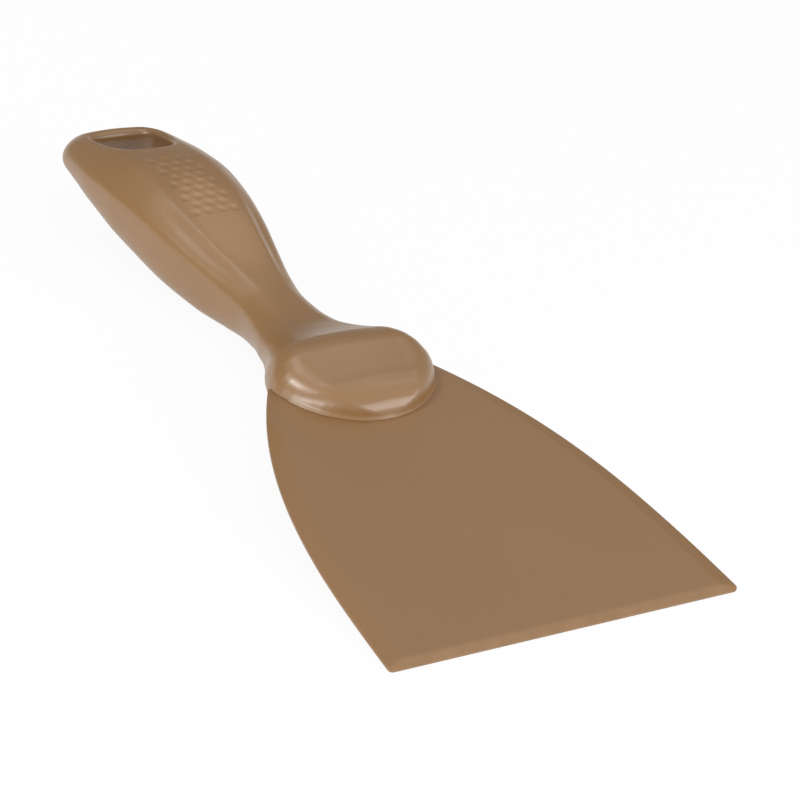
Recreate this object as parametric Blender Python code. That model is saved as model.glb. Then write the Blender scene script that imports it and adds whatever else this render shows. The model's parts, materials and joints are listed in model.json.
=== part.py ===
"""Plastic hand scraper: a thin spade-shaped blade whose root is held in a moulded handle.

The handle is one moulding: a domed collar over the blade's root, a slim neck, a wide grip and a
hanging hole. It is moulded round the root, so its material also fills the root's keying holes.

+X runs across the blade, +Y from the scraping edge to the hanging hole and +Z up, in metres.
Both pieces are drawn with the blade's upper face level at height zero, then an empty tips them
to the pose in which the tool lies on a table, on its edge and on the belly of its grip.
"""
import math

import bmesh
import bpy
from mathutils import Matrix, Vector

MM = 0.001

# Blade
BLADE_WIDTH = 102.0 * MM
BLADE_REACH = 84.3 * MM             # scraping edge to the front of the collar
SHOULDER_INSET = 20.0 * MM          # from there to the step in the blade's sides
SHOULDER_WIDTH = 48.3 * MM
SIDE_SHARES = (0.968, 0.928)        # pull of the side's curve, in half blade widths
TIP_RADIUS = 1.8 * MM
BLADE_THICKNESS = 2.6 * MM
EDGE_THICKNESS = 1.3 * MM           # in the middle of the scraping edge
EDGE_LIFT = 0.2 * MM                # the edge's lower line rises by this to both tips
RAMP_LENGTH = 35.0 * MM             # the underside rises to the thin edge over this length
FRONT_BEVEL_LENGTH = 2.4 * MM
FRONT_BEVEL_DROP = 0.8 * MM
SIDE_BEVEL_WIDTH = 4.2 * MM         # both faces slope to each side over this width
SIDE_BEVEL_DROP = 0.9 * MM          # on the upper face
SIDE_LAND = 0.7 * MM                # upright strip between the two slopes

# Root of the blade, inside the collar
ROOT_WIDTH = 37.0 * MM
ROOT_LENGTH = 14.0 * MM
ROOT_CHAMFER = 0.4 * MM
ROOT_ROUNDNESS = 2.6
KEY_HOLE_RADIUS = 3.2 * MM
KEY_HOLE_SPREAD = 21.0 * MM
SIDE_KEY_DEPTH = 4.5 * MM           # from the shoulder to the two side keying holes
MIDDLE_KEY_DEPTH = 8.0 * MM
CLEARANCE = 0.3 * MM                # between the blade and the handle, all round

# Collar of the handle
COLLAR_WIDTH = 50.6 * MM
COLLAR_LENGTH = 24.5 * MM
COLLAR_RISE = 8.8 * MM              # above the blade's upper face
COLLAR_DROP = 11.6 * MM             # below the blade's upper face
COLLAR_PANEL_WIDTH = 27.0 * MM
COLLAR_NOSE_LENGTH = 25.0 * MM      # plan rounding of the collar's front
COLLAR_BROW_LENGTH = 9.0 * MM       # side-view rounding of the collar's front

# Neck of the handle
NECK_LENGTH = 42.0 * MM
NECK_WIDTH = 19.6 * MM
NECK_RISE = -0.4 * MM
NECK_DROP = 16.2 * MM
NECK_PANEL_WIDTH = 6.6 * MM

# Grip of the handle
GRIP_LENGTH = 90.0 * MM
GRIP_WIDTH = 40.4 * MM
GRIP_RISE = 3.3 * MM
GRIP_DROP = 20.2 * MM
GRIP_PANEL_WIDTH = 20.0 * MM
END_PLAN_ROUND = 13.0 * MM
END_SIDE_ROUND = 7.0 * MM
END_ROUNDNESS = 2.4                 # 2 is a plain arc, more is squarer
PANEL_CROWN_SHARE = 0.05            # height of the top panel's crown, in half panel widths
PANEL_LIMIT_SHARE = 0.75            # the top panel is never wider than this share of the section
PANEL_BLEND = 6.0                   # how abruptly that limit takes over, as a power
BELLY_STRIP_SHARE = 0.15            # half width of the flat strip under the belly, in half widths

# Shallow finger channel along each flank of the grip
CHANNEL_DEPTH = 0.9 * MM
CHANNEL_START_SHARE = -0.10         # of the grip's length, from its start
CHANNEL_END_SHARE = 0.46
CHANNEL_ANGLE = math.radians(34.0)
CHANNEL_SPAN = math.radians(17.0)

# Hanging hole
HOLE_PLACE = 15.0 * MM              # from the handle's end to the hole's widest line
HOLE_WIDTH = 21.8 * MM
HOLE_NEAR_REACH = 12.0 * MM         # from the widest line towards the neck
HOLE_FAR_REACH = 7.4 * MM           # from the widest line towards the end
HOLE_ROUNDNESS = 2.2
HOLE_LIP = 1.9 * MM
LIP_ANGLE = math.radians(64.0)      # how far round each lip turns

# Overruns and fineness
OVERRUN = 4.0 * MM
TINY = 0.02 * MM
MERGE_DISTANCE = 0.005 * MM
SHARP_ANGLE = math.radians(30.0)
SIDE_STEPS = 22
TIP_STEPS = 4
ROOT_STEPS = 8
BODY_RINGS = 50
ROUND_RINGS = 9
FIRST_RING_SHARE = 0.15             # place of the outermost ring, in steps of a rounded end
FLANK_STEPS = 8
BELLY_STEPS = 7
HOLE_POINTS = 40
KEY_HOLE_SIDES = 24
LIP_STEPS = 4

# Stations of the handle's outer lines. Places are shares of the zone's length; half widths, tops,
# bottoms and panel half widths are shares of the zone's own width, rise, drop and panel.
COLLAR_SHARES = (
    # place  width  top    bottom panel
    (0.00, 1.000, 0.76, 0.80, 0.70),
    (0.40, 1.000, 0.80, 0.86, 0.82),
    (0.65, 0.990, 0.88, 0.94, 0.96),
    (0.80, 0.965, 0.94, 0.97, 1.00),
    (0.92, 0.905, 0.99, 0.98, 1.00),
)
NECK_SHARES = (
    # place  width  rise   drop   panel
    (0.05, 2.160, 0.92, 0.71, 3.68),
    (0.17, 1.830, 0.62, 0.72, 2.99),
    (0.30, 1.550, 0.34, 0.74, 2.07),
    (0.44, 1.340, 0.12, 0.82, 1.44),
    (0.62, 1.110, 0.02, 0.93, 1.09),
    (0.82, 1.000, 0.00, 1.02, 0.98),
)
GRIP_SHARES = (
    # place  width  rise   drop   panel
    (0.00, 0.530, 0.10, 0.89, 0.45),
    (0.14, 0.670, 0.38, 0.97, 0.72),
    (0.30, 0.830, 0.78, 1.00, 0.92),
    (0.44, 0.925, 1.00, 0.98, 1.00),
    (0.56, 0.985, 0.90, 0.96, 0.99),
    (0.68, 0.995, 0.36, 0.955, 0.96),
    (0.78, 0.945, -0.40, 0.955, 0.94),
    (0.88, 0.875, -1.20, 0.95, 0.90),
    (0.95, 0.845, -2.00, 0.93, 0.78),
    (1.00, 0.835, -2.60, 0.91, 0.68),
)

# Form of the cross-section. Places are shares of the handle's length, and the widest line is a share
# of the way from the belly to the top. The powers say how full each curve is: near 1 is a straight
# slope with a crisp edge, 2 is an ellipse and 4 is boxy.
SECTION_SHARES = (
    # place  widest flank belly
    (0.00, 0.50, 2.20, 2.2),
    (0.16, 0.50, 2.20, 2.2),
    (0.26, 0.53, 1.90, 2.2),
    (0.33, 0.68, 1.50, 2.6),
    (0.42, 0.74, 1.35, 3.4),
    (0.50, 0.74, 1.35, 4.0),
    (0.60, 0.73, 1.35, 3.8),
    (0.74, 0.68, 1.35, 3.3),
    (0.82, 0.62, 1.40, 2.6),
    (0.90, 0.55, 1.60, 2.2),
    (1.00, 0.50, 1.80, 2.2),
)

COLLAR_FRONT = BLADE_REACH
SHOULDER_PLACE = BLADE_REACH + SHOULDER_INSET
NECK_START = COLLAR_FRONT + COLLAR_LENGTH
GRIP_START = NECK_START + NECK_LENGTH
TOOL_END = GRIP_START + GRIP_LENGTH
HANDLE_LENGTH = TOOL_END - COLLAR_FRONT
HOLE_CENTRE = TOOL_END - HOLE_PLACE

BLADE_COLOUR = (0.281, 0.150, 0.055, 1.0)
HANDLE_COLOUR = (0.281, 0.150, 0.055, 1.0)
BLADE_ROUGHNESS = 0.42
HANDLE_ROUGHNESS = 0.38


def clear_scene():
    """Remove whatever the scene holds."""
    for item in list(bpy.data.objects):
        bpy.data.objects.remove(item, do_unlink=True)


def new_collection(name):
    """A collection linked to the scene."""
    collection = bpy.data.collections.new(name)
    bpy.context.scene.collection.children.link(collection)
    return collection


def plastic(name, colour, roughness):
    """A moulded plastic material."""
    material = bpy.data.materials.new(name)
    material.use_nodes = True
    shader = material.node_tree.nodes["Principled BSDF"]
    shader.inputs["Base Color"].default_value = colour
    shader.inputs["Roughness"].default_value = roughness
    shader.inputs["Metallic"].default_value = 0.0
    return material


def add_mesh(name, bm, collection):
    """An object from a bmesh whose faces are turned outwards."""
    bmesh.ops.recalc_face_normals(bm, faces=bm.faces)
    mesh = bpy.data.meshes.new(name)
    bm.to_mesh(mesh)
    bm.free()
    obj = bpy.data.objects.new(name, mesh)
    collection.objects.link(obj)
    return obj


def loft(rings):
    """A closed bmesh through rings with the same number of points."""
    bm = bmesh.new()
    loops = [[bm.verts.new(point) for point in ring] for ring in rings]
    for lower, upper in zip(loops, loops[1:]):
        for i in range(len(lower)):
            bm.faces.new((lower[i - 1], lower[i], upper[i], upper[i - 1]))
    bm.faces.new(loops[0])
    bm.faces.new(loops[-1])
    return bm


def subtract(target, cutter):
    """Cut one object from another and mark the cutter as a guide."""
    modifier = target.modifiers.new(cutter.name, "BOOLEAN")
    modifier.operation = "DIFFERENCE"
    modifier.solver = "EXACT"
    modifier.object = cutter
    cutter.hide_render = True
    cutter.display_type = "WIRE"


def smooth_value(places, values, place):
    """Value at a place, on a smooth line through the given places and values."""
    if place <= places[0]:
        return values[0]
    if place >= places[-1]:
        return values[-1]
    right = next(i for i, stop in enumerate(places) if stop > place)
    left = right - 1

    def slope(i):
        """Slope at a station, which is level where the line turns back."""
        if i == 0 or i == len(places) - 1:
            return 0.0
        before = (values[i] - values[i - 1]) / (places[i] - places[i - 1])
        after = (values[i + 1] - values[i]) / (places[i + 1] - places[i])
        if before * after <= 0.0:
            return 0.0
        return 2.0 * before * after / (before + after)

    gap = places[right] - places[left]
    t = (place - places[left]) / gap
    start, end = values[left], values[right]
    blend = t * t * (3.0 - 2.0 * t)
    bow = t * (1.0 - t) * gap * (slope(left) * (1.0 - t) - slope(right) * t)
    return start + (end - start) * blend + bow


def rounded(share, power=2.0):
    """Share of the full size left in a rounded end, which starts at share 0 and ends at 1."""
    return math.sqrt(max(1.0 - share ** power, 0.0))


# Blade

def side_half_width(place):
    """Half width of the blade at a distance from its scraping edge."""
    t = place / SHOULDER_PLACE
    half = BLADE_WIDTH / 2
    one_third, two_thirds = (share * half for share in SIDE_SHARES)
    return (half * (1 - t) ** 3 + one_third * 3 * t * (1 - t) ** 2
            + two_thirds * 3 * t * t * (1 - t) + SHOULDER_WIDTH / 2 * t ** 3)


def blade_bottom(place):
    """Height of the blade's underside, with the ramp that thins the scraping edge."""
    ramp = max(1.0 - place / RAMP_LENGTH, 0.0)
    return -BLADE_THICKNESS + (BLADE_THICKNESS - EDGE_THICKNESS) * ramp


def side_drop(place):
    """How far the side's upper slope falls, which is less where the blade thins."""
    return SIDE_BEVEL_DROP * -blade_bottom(place) / BLADE_THICKNESS


def lower_line(place, drop, lift):
    """Height of the side's lower line, under the slope and the upright strip."""
    return max(-drop - SIDE_LAND, blade_bottom(place) + lift)


def slope_width(height, full_height):
    """Width of a side slope that climbs a height, in line with the full slope."""
    return SIDE_BEVEL_WIDTH * height / full_height


def side_entry(x, y, drop, grow_x, grow_y, inner_y, facing=(1.0, 0.0), lift=EDGE_LIFT):
    """One place on the right-hand side: outer point, its two heights and both inner points."""
    across, along = facing
    low = lower_line(y, drop, lift)
    under_height = BLADE_THICKNESS - SIDE_BEVEL_DROP - SIDE_LAND
    inner_x = min(x, side_half_width(inner_y) - slope_width(side_drop(inner_y), SIDE_BEVEL_DROP))
    inset = slope_width(low - blade_bottom(y), under_height)
    under = (x - inset * across, y - inset * along + grow_y)
    return (x + grow_x, y + grow_y), -drop, low, (inner_x, inner_y), under


def blade_side(grow):
    """Right-hand side of the blade, from the middle of its front edge to its shoulder."""
    entries = [side_entry(0.0, 0.0, FRONT_BEVEL_DROP, 0.0, -grow, FRONT_BEVEL_LENGTH, lift=0.0)]
    tip_x = side_half_width(0.0) - TIP_RADIUS
    for step in range(TIP_STEPS + 1):
        angle = math.radians(-90.0 + 90.0 * step / TIP_STEPS)
        across, along = math.cos(angle), math.sin(angle)
        x = tip_x + TIP_RADIUS * across
        y = TIP_RADIUS + TIP_RADIUS * along
        front_drop = FRONT_BEVEL_DROP * max(1.0 - y / FRONT_BEVEL_LENGTH, 0.0)
        drop = max(front_drop, side_drop(y))
        entries.append(side_entry(x, y, drop, grow * across, grow * along, FRONT_BEVEL_LENGTH,
                                  (across, along)))
    places = [FRONT_BEVEL_LENGTH + (SHOULDER_PLACE - FRONT_BEVEL_LENGTH) * step / SIDE_STEPS
              for step in range(SIDE_STEPS)]
    for y in sorted(places + [RAMP_LENGTH]):
        entries.append(side_entry(side_half_width(y), y, side_drop(y), grow, 0.0, y))
    end = SHOULDER_PLACE
    entries.append(side_entry(side_half_width(end), end, side_drop(end), grow, grow,
                              end - ROOT_CHAMFER))
    return entries


def blade_root(grow):
    """Right-hand outline of the root, from the shoulder to its end, in the same form."""
    entries = []
    inner_half = ROOT_WIDTH / 2 - ROOT_CHAMFER
    outer_half = ROOT_WIDTH / 2 + grow
    for step in range(ROOT_STEPS + 1):
        angle = math.radians(90.0 * step / ROOT_STEPS)
        across = max(math.cos(angle), 0.0) ** (2.0 / ROOT_ROUNDNESS)
        along = math.sin(angle) ** (2.0 / ROOT_ROUNDNESS)
        outer = (outer_half * across, SHOULDER_PLACE + grow + ROOT_LENGTH * along)
        inner = (inner_half * across, SHOULDER_PLACE - ROOT_CHAMFER + ROOT_LENGTH * along)
        entries.append((outer, -ROOT_CHAMFER, -BLADE_THICKNESS, inner, outer))
    return entries


def mirrored(entry):
    """The same place on the left-hand side."""
    (x, y), high, low, (u, v), (p, q) = entry
    return (-x, y), high, low, (-u, v), (-p, q)


def blade_body(grow):
    """Bmesh of the blade, or of the space it needs when it is grown by a clearance."""
    right = blade_side(grow) + blade_root(grow)
    entries = right + [mirrored(entry) for entry in reversed(right)]
    bm = bmesh.new()
    upper, side_top, side_foot, lower = [], [], [], []
    for outer, high, low, inner, under in entries:
        upper.append(bm.verts.new((*inner, grow)))
        side_top.append(bm.verts.new((*outer, high + grow)))
        side_foot.append(bm.verts.new((*outer, low - grow)))
        lower.append(bm.verts.new((*under, blade_bottom(max(under[1], 0.0)) - grow)))
    for above, below in ((upper, side_top), (side_top, side_foot), (side_foot, lower)):
        for i in range(len(entries)):
            bm.faces.new((above[i - 1], above[i], below[i], below[i - 1]))
    bm.faces.new(upper)
    ramp = [vert for vert in lower if vert.co.y <= RAMP_LENGTH + TINY]
    flat = [vert for vert in lower if vert.co.y >= RAMP_LENGTH - TINY]
    turn = [vert.co.x < 0.0 for vert in ramp].index(True)
    bm.faces.new(ramp[turn:] + ramp[:turn])
    bm.faces.new(flat)
    bmesh.ops.remove_doubles(bm, verts=bm.verts, dist=MERGE_DISTANCE)
    return bm


def key_hole_places():
    """Centres of the root's keying holes."""
    side_y = SHOULDER_PLACE + SIDE_KEY_DEPTH
    half = KEY_HOLE_SPREAD / 2
    return ((-half, side_y), (half, side_y), (0.0, SHOULDER_PLACE + MIDDLE_KEY_DEPTH))


def key_cutters(name, radius, collection):
    """One upright cylinder at each keying hole, joined in a single cutter."""
    bm = bmesh.new()
    for x, y in key_hole_places():
        place = Matrix.Translation((x, y, -BLADE_THICKNESS / 2))
        bmesh.ops.create_cone(bm, cap_ends=True, segments=KEY_HOLE_SIDES, radius1=radius,
                              radius2=radius, depth=BLADE_THICKNESS + OVERRUN, matrix=place)
    return add_mesh(name, bm, collection)


def build_blade(parts, cutters):
    """The blade, with keying holes through its root."""
    blade = add_mesh("blade", blade_body(0.0), parts)
    subtract(blade, key_cutters("key_hole_cutter", KEY_HOLE_RADIUS, cutters))
    blade.data.materials.append(plastic("blade_plastic", BLADE_COLOUR, BLADE_ROUGHNESS))
    return blade


# Handle

def handle_stations():
    """Places and outer lines of the handle's stations, from the collar to the end."""
    zones = (
        (COLLAR_SHARES, COLLAR_FRONT, COLLAR_LENGTH, COLLAR_WIDTH, 0.0, COLLAR_RISE,
         COLLAR_DROP, COLLAR_PANEL_WIDTH),
        (NECK_SHARES, NECK_START, NECK_LENGTH, NECK_WIDTH, NECK_RISE, COLLAR_RISE - NECK_RISE,
         NECK_DROP, NECK_PANEL_WIDTH),
        (GRIP_SHARES, GRIP_START, GRIP_LENGTH, GRIP_WIDTH, NECK_RISE, GRIP_RISE - NECK_RISE,
         GRIP_DROP, GRIP_PANEL_WIDTH),
    )
    stations = []
    for shares, start, length, width, base, rise, drop, panel in zones:
        for place, wide, top, bottom, flat in shares:
            stations.append((start + length * place, width / 2 * wide, base + rise * top,
                             -drop * bottom, panel / 2 * flat))
    return stations


STATIONS = handle_stations()
STATION_COLUMNS = tuple(zip(*STATIONS))


def soft_least(first, second):
    """The smaller of two lengths, blended where they are alike."""
    return (first ** -PANEL_BLEND + second ** -PANEL_BLEND) ** (-1.0 / PANEL_BLEND)


def section_form(place):
    """Share of the widest line and powers of the flank's and belly's curves at a place along Y."""
    columns = tuple(zip(*SECTION_SHARES))
    share = (place - COLLAR_FRONT) / HANDLE_LENGTH
    return [smooth_value(columns[0], column, share) for column in columns[1:]]


def handle_lines(place):
    """Half width, top, widest height, bottom and panel half width at a place along Y."""
    places = STATION_COLUMNS[0]
    half, top, bottom, panel = (smooth_value(places, column, place)
                                for column in STATION_COLUMNS[1:])
    nose = max(1.0 - (place - COLLAR_FRONT) / COLLAR_NOSE_LENGTH, 0.0)
    brow = max(1.0 - (place - COLLAR_FRONT) / COLLAR_BROW_LENGTH, 0.0)
    plan_end = max(1.0 - (TOOL_END - place) / END_PLAN_ROUND, 0.0)
    side_end = max(1.0 - (TOOL_END - place) / END_SIDE_ROUND, 0.0)
    half *= rounded(nose) * rounded(plan_end, END_ROUNDNESS)
    top *= rounded(brow)
    bottom *= rounded(brow)
    widest = bottom + (top - bottom) * section_form(place)[0]
    flatten = rounded(side_end)
    top = widest + (top - widest) * flatten
    bottom = widest + (bottom - widest) * flatten
    return half, top, widest, bottom, soft_least(panel, half * PANEL_LIMIT_SHARE)


def channel_depth(place, angle):
    """How far the finger channel sinks into the flank."""
    start = GRIP_START + GRIP_LENGTH * CHANNEL_START_SHARE
    end = GRIP_START + GRIP_LENGTH * CHANNEL_END_SHARE
    along = (place - start) / (end - start)
    if not 0.0 < along < 1.0:
        return 0.0
    across = math.exp(-((angle - CHANNEL_ANGLE) / CHANNEL_SPAN) ** 2)
    return CHANNEL_DEPTH * math.sin(math.pi * along) ** 2 * across


def handle_ring(place):
    """Closed ring of the handle's surface at a place along Y."""
    half, top, widest, bottom, panel = handle_lines(place)
    crest = top - panel * PANEL_CROWN_SHARE
    _, flank, belly = section_form(place)
    side = [(panel / 2, top - panel * PANEL_CROWN_SHARE / 4)]
    for step in range(FLANK_STEPS + 1):
        angle = math.pi / 2 * step / FLANK_STEPS
        sink = channel_depth(place, angle)
        x = panel + (half - panel) * math.sin(angle) ** (2.0 / flank)
        z = widest + (crest - widest) * max(math.cos(angle), 0.0) ** (2.0 / flank)
        side.append((x - sink * math.sin(angle), z - sink * math.cos(angle)))
    for step in range(1, BELLY_STEPS):
        angle = math.pi / 2 * step / BELLY_STEPS
        x = half * math.cos(angle) ** (2.0 / belly)
        z = widest - (widest - bottom) * math.sin(angle) ** (2.0 / belly)
        side.append((x, z))
    side.append((half * BELLY_STRIP_SHARE, bottom))
    ring = [(0.0, top)] + side + [(-x, z) for x, z in reversed(side)]
    return [Vector((x, place, z)) for x, z in ring]


def ring_places():
    """Places of the handle's rings, closer together at its two rounded ends."""
    turns = [math.pi / 2 * (step + FIRST_RING_SHARE) / ROUND_RINGS for step in range(ROUND_RINGS)]
    body_start = COLLAR_FRONT + COLLAR_NOSE_LENGTH
    body_end = TOOL_END - END_PLAN_ROUND
    front = [COLLAR_FRONT + COLLAR_NOSE_LENGTH * (1.0 - math.cos(turn)) for turn in turns]
    middle = [body_start + (body_end - body_start) * step / BODY_RINGS
              for step in range(BODY_RINGS + 1)]
    end = [TOOL_END - END_PLAN_ROUND * (1.0 - math.cos(turn)) for turn in reversed(turns)]
    return front + middle + end


def top_height(x, place):
    """Height of the handle's upper surface above a point."""
    half, top, widest, _, panel = handle_lines(place)
    if abs(x) <= panel:
        return top - PANEL_CROWN_SHARE * x * x / panel
    flank = section_form(place)[1]
    share = min((abs(x) - panel) / (half - panel), 1.0)
    crest = top - panel * PANEL_CROWN_SHARE
    return widest + (crest - widest) * (1.0 - share ** flank) ** (1.0 / flank)


def bottom_height(x, place):
    """Height of the handle's lower surface under a point."""
    half, _, widest, bottom, _ = handle_lines(place)
    belly = section_form(place)[2]
    share = min(abs(x) / half, 1.0)
    return widest - (widest - bottom) * (1.0 - share ** belly) ** (1.0 / belly)


def hole_outline(spread):
    """Plan outline of the hanging hole, spread outwards by a lip's width."""
    points = []
    power = 2.0 / HOLE_ROUNDNESS
    for i in range(HOLE_POINTS):
        angle = 2.0 * math.pi * i / HOLE_POINTS
        across, along = math.cos(angle), math.sin(angle)
        reach = (HOLE_FAR_REACH if along > 0.0 else HOLE_NEAR_REACH) + spread
        x = math.copysign(abs(across) ** power, across) * (HOLE_WIDTH / 2 + spread)
        y = HOLE_CENTRE + math.copysign(abs(along) ** power, along) * reach
        points.append((x, y))
    return points


def hole_rings():
    """Rings of the hanging hole's cutter, with a rounded lip that follows each surface."""
    turns = [LIP_ANGLE * step / LIP_STEPS for step in range(LIP_STEPS + 1)]
    lips = [(HOLE_LIP * (1.0 - math.cos(turn)), HOLE_LIP * (1.0 - math.sin(turn)))
            for turn in turns]
    widest_spread = lips[-1][0]
    over = [(x, y, top_height(x, y) + OVERRUN) for x, y in hole_outline(widest_spread)]
    under = [(x, y, bottom_height(x, y) - OVERRUN) for x, y in hole_outline(widest_spread)]
    upper = [[(x, y, top_height(x, y) - depth) for x, y in hole_outline(spread)]
             for spread, depth in reversed(lips)]
    lower = [[(x, y, bottom_height(x, y) + depth) for x, y in hole_outline(spread)]
             for spread, depth in lips]
    return [over] + upper + lower + [under]


def build_handle(parts, cutters):
    """The handle, with the pocket for the blade's root and the hanging hole."""
    handle = add_mesh("handle", loft([handle_ring(place) for place in ring_places()]), parts)
    pocket = add_mesh("root_pocket_cutter", blade_body(CLEARANCE), cutters)
    pegs = key_cutters("peg_cutter", KEY_HOLE_RADIUS - CLEARANCE, cutters)
    subtract(pocket, pegs)
    subtract(handle, pocket)
    hole = add_mesh("hanging_hole_cutter", loft(hole_rings()), cutters)
    subtract(handle, hole)
    handle.data.materials.append(plastic("handle_plastic", HANDLE_COLOUR, HANDLE_ROUGHNESS))
    return handle


# Resting pose

def evaluated_points(objects):
    """Every vertex of the finished pieces, in the level frame."""
    graph = bpy.context.evaluated_depsgraph_get()
    points = []
    for obj in objects:
        mesh = obj.evaluated_get(graph).to_mesh()
        points.extend(vert.co.copy() for vert in mesh.vertices)
        obj.evaluated_get(graph).to_mesh_clear()
    return points


def lay_down(objects, guides):
    """Tip the pieces and their cutters onto the edge and the belly, centred on the origin."""
    points = evaluated_points(objects)
    edge_height = -EDGE_THICKNESS
    tilt = max(math.atan2(edge_height - point.z, point.y) for point in points
               if point.y > COLLAR_FRONT)
    turn = Matrix.Rotation(tilt, 4, "X")
    turned = [turn @ point for point in points]
    low = Vector([min(point[i] for point in turned) for i in range(3)])
    high = Vector([max(point[i] for point in turned) for i in range(3)])
    rest = bpy.data.objects.new("resting_pose", None)
    guides.objects.link(rest)
    rest.rotation_euler = (tilt, 0.0, 0.0)
    rest.location = (-(low.x + high.x) / 2, -(low.y + high.y) / 2, -low.z)
    for obj in objects + tuple(guides.objects):
        if obj != rest:
            obj.parent = rest


def shade(obj):
    """Round surfaces shaded smooth, with crisp edges kept."""
    obj.data.shade_smooth()
    obj.data.set_sharp_from_angle(angle=SHARP_ANGLE)


def main():
    """Build the scraper."""
    clear_scene()
    parts = new_collection("plastic_hand_scraper")
    cutters = new_collection("cutters")
    blade = build_blade(parts, cutters)
    handle = build_handle(parts, cutters)
    for obj in (blade, handle):
        shade(obj)
    bpy.context.view_layer.update()
    lay_down((blade, handle), cutters)


main()
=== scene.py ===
"""Looks of a plastic hand scraper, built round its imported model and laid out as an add-on.

One operator models the blade, one the handle and one the stage. Both pieces are modelled level, with
the blade's upper face at height zero and its scraping edge along X, and are then laid on the table.
"""
import json
import math

import bpy
import numpy as np
from bpy.props import FloatProperty, FloatVectorProperty, PointerProperty
from mathutils import Matrix, Vector


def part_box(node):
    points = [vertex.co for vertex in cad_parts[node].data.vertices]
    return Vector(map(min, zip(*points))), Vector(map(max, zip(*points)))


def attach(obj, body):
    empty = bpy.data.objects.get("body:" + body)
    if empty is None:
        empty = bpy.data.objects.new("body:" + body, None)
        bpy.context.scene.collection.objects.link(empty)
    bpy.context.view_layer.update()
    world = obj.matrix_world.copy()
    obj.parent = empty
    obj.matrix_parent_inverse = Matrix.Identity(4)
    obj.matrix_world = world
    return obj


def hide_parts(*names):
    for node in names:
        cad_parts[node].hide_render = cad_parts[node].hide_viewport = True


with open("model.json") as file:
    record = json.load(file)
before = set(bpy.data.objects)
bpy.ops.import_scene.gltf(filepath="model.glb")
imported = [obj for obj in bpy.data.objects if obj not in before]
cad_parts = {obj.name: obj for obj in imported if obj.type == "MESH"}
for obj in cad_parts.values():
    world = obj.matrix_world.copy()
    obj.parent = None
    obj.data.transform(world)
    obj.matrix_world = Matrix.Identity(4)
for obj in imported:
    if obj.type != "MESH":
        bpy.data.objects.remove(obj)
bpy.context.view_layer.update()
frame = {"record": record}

bl_info = {
    "name": "Plastic hand scraper",
    "version": (1, 0, 0),
    "blender": (4, 5, 0),
    "location": "View3D > Sidebar > Scraper",
    "description": "Models a moulded hand scraper with its blade, handle and a plain studio stage",
    "category": "Object",
}

MM = 0.001

# Fineness of the blade
SIDE_ROWS = 46
TIP_ROWS = 7
BEVEL_ROWS = 7
BAND_COLUMNS = 6
CREASE_COLUMNS = 5
INNER_COLUMNS = 9
ROOT_STEPS = 12
EDGE_SEGMENTS = 3
KEY_SIDES = 48
BLADE_CRISP_DEGREES = 32.0

# Differences that tell the blade's edges and points apart
SAME_PLACE = 0.01 * MM
PLAN_DIGITS = 7                     # places seen from above are compared to this digit of a metre
LEAST_RUN = 0.02 * MM               # an edge shorter than this, seen from above, is upright
MOST_DROP = 0.2 * MM                # and so is one that falls further than this

# Form of the blade
SIDE_CURVE_SHARES = (0.968, 0.928)  # half widths of the side curve's two inner control points
RAMP_BEND_SHARE = 0.03              # softness of the bend where the ramp starts, in ramps
BEVEL_ROWS_SHARE = 1.6              # where the closer rows stop, in front bevels
CREASE_SPAN_SHARES = (0.85, 1.15)   # where the closer columns start and stop, in side bevels
LEAST_RIM_SHARE = 0.35              # thinnest rim, in thicknesses of the scraping edge
KEY_CUTTER_SHARE = 3                # height of a keying hole's cutter, in thicknesses

# Fineness of the handle
BODY_RINGS = 170
ROUND_RINGS = 34
PANEL_POINTS = 12
FLANK_POINTS = 34
BELLY_POINTS = 26
HOLE_POINTS = 132
LIP_STEPS = 12
VOXEL = 0.46 * MM
RELAX_FACTOR = 0.5
RELAX_STEPS = 5
HANDLE_CRISP_DEGREES = 42.0
HOLE_ANGLES = np.linspace(0.0, 2.0 * math.pi, HOLE_POINTS, endpoint=False)
HOLE_OVERRUN = 4.0 * MM

# Softening of the grip's widest lines
EDGE_RELAX_STEPS = 45
EDGE_RELAX_BANDS = 4
EDGE_RELAX_REACH = 2.2 * MM         # distance over which it fades out
EDGE_RELAX_FULL_SHARE = 0.5         # it is full this far from the line, in that distance
EDGE_LINE_POINTS = 300
EDGE_LINE_STOP_SHARE = 0.25         # where the lines stop before the end, in the end's rounding
EDGE_LINE_SIDE_SHARE = 0.75         # only points past this share of the half width count

# Places where the plastic's colour changes, to paint shade on the blade's bevels and a highlight on the
# grip
BEVEL_MARK = "side_bevel"
BEVEL_SHADE_TONE = (0.99, 0.945, 0.80)    # painted shade on the side bevels: their colour, against the grained face
HIGHLIGHT_SHARE = 0.26                   # place of the painted highlight on the grip's top panel, in lengths of the grip
HIGHLIGHT_WIDTH = 8.5 * MM
HIGHLIGHT_LENGTH = 23.0 * MM
HIGHLIGHT_FADE_SHARES = (1.15, 0.55)     # outer and inner limit of the painted highlight's soft rim
HIGHLIGHT_STRENGTH = 0.70

# Finish of the plastic
PLASTIC_IOR = 1.49
GRAIN_STRENGTH = 0.25
GRAIN_DEPTH = 0.03 * MM
TONE_AMOUNT = 0.07
CLOUD_SHARE = 0.7                   # slow clouds in the tone, against its fine specks
NOISE_MIDDLE = 0.5
PATCH_SPAN = (0.35, 0.65)           # noise between which rubbed patches set in
SCUFF_SPAN = (0.64, 0.74)           # noise between which a scuff sets in
UNEVEN_ROUGHNESS = 0.10
WORN_ROUGHNESS = 0.12
WORN_AND_HIGHLIGHT_GAIN = 1.22
WORN_AND_HIGHLIGHT_LIFT = 0.02
EDGE_POINTINESS = (0.515, 0.60)     # pointedness of the surface between which edge wear sets in
EDGE_WEAR = 0.6
FRONT_WEAR = 0.55
FRONT_WEAR_REACH = 3.5 * MM

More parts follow.
